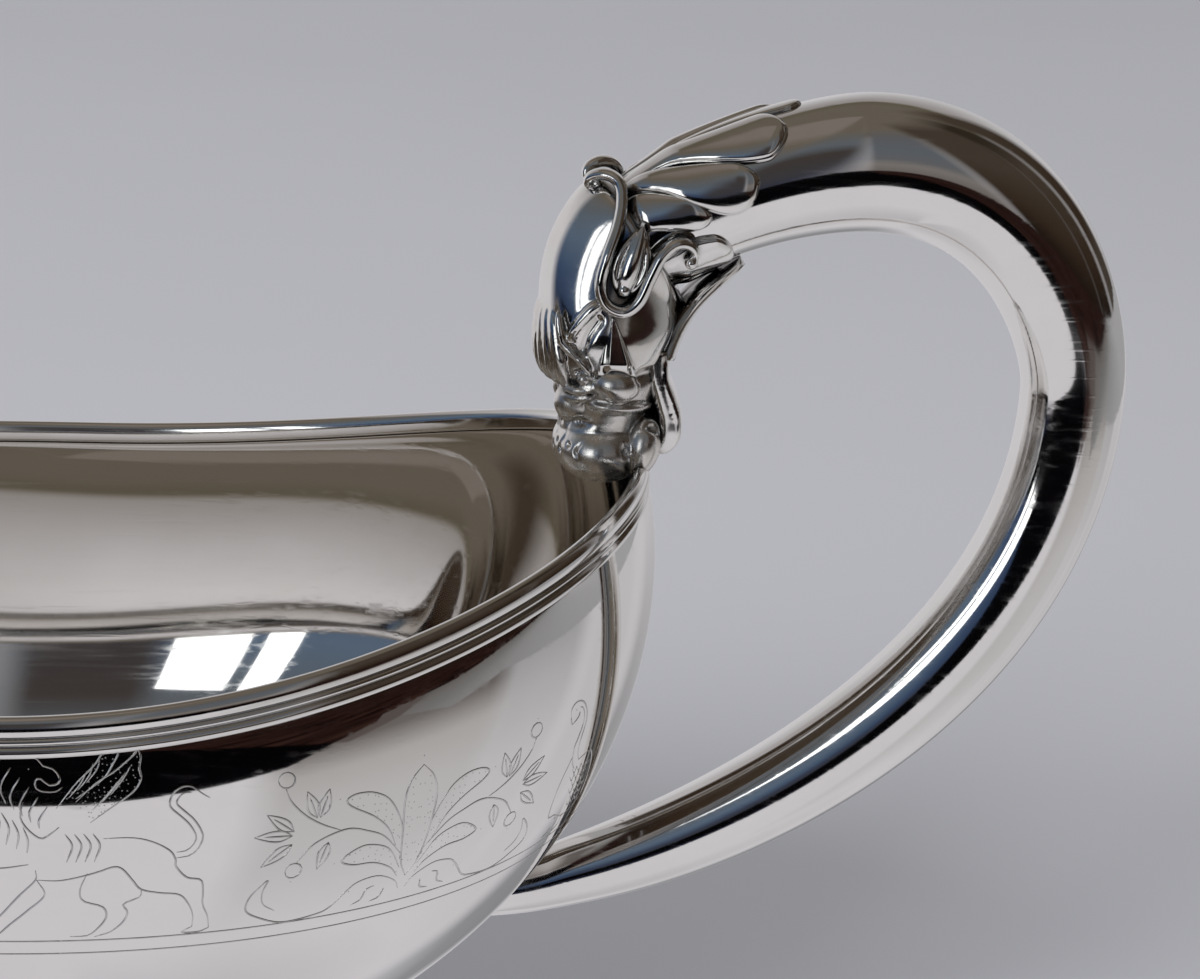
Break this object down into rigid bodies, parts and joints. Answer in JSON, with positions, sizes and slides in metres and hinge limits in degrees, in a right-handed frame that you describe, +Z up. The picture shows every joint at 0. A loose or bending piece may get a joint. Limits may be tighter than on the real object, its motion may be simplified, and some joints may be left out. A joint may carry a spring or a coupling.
{
  "type": "sauce boat",
  "caption": "Footed silver sauce boat with a drawn-out pouring spout, a moulded rim and a loop handle springing from a cast beast's head that bites the rim.",
  "frame": {"origin": "middle of the foot's flat resting face", "axes": "+X towards the handle, -X towards the spout, +Z up; the plane Y = 0 is the boat's plane of symmetry"},
  "size_m": [0.208, 0.091, 0.1228],
  "materials": {
    "polished_sheet": "hand-polished silver with fine scratches and an engraved frieze",
    "polished_tube": "hand-polished silver with fine scratches",
    "wire_and_foot": "polished silver, dark in the grooves",
    "cast_silver": "cast and chased silver, dark in the hollows"
  },
  "bodies": {
    "root": {"bowl": "polished_sheet", "rim_moulding": "wire_and_foot", "foot_collar": "wire_and_foot", "foot": "wire_and_foot", "foot_rim": "wire_and_foot", "handle_loop": "polished_tube", "leaf_calyx": "cast_silver", "beast_head": "cast_silver", "lower_jaw": "cast_silver", "throat_leaf": "cast_silver", "ear_left": "cast_silver", "ear_right": "cast_silver", "scroll_left": "cast_silver", "scroll_right": "cast_silver", "bud_left": "cast_silver", "bud_right": "cast_silver"}
  },
  "joints": []
}
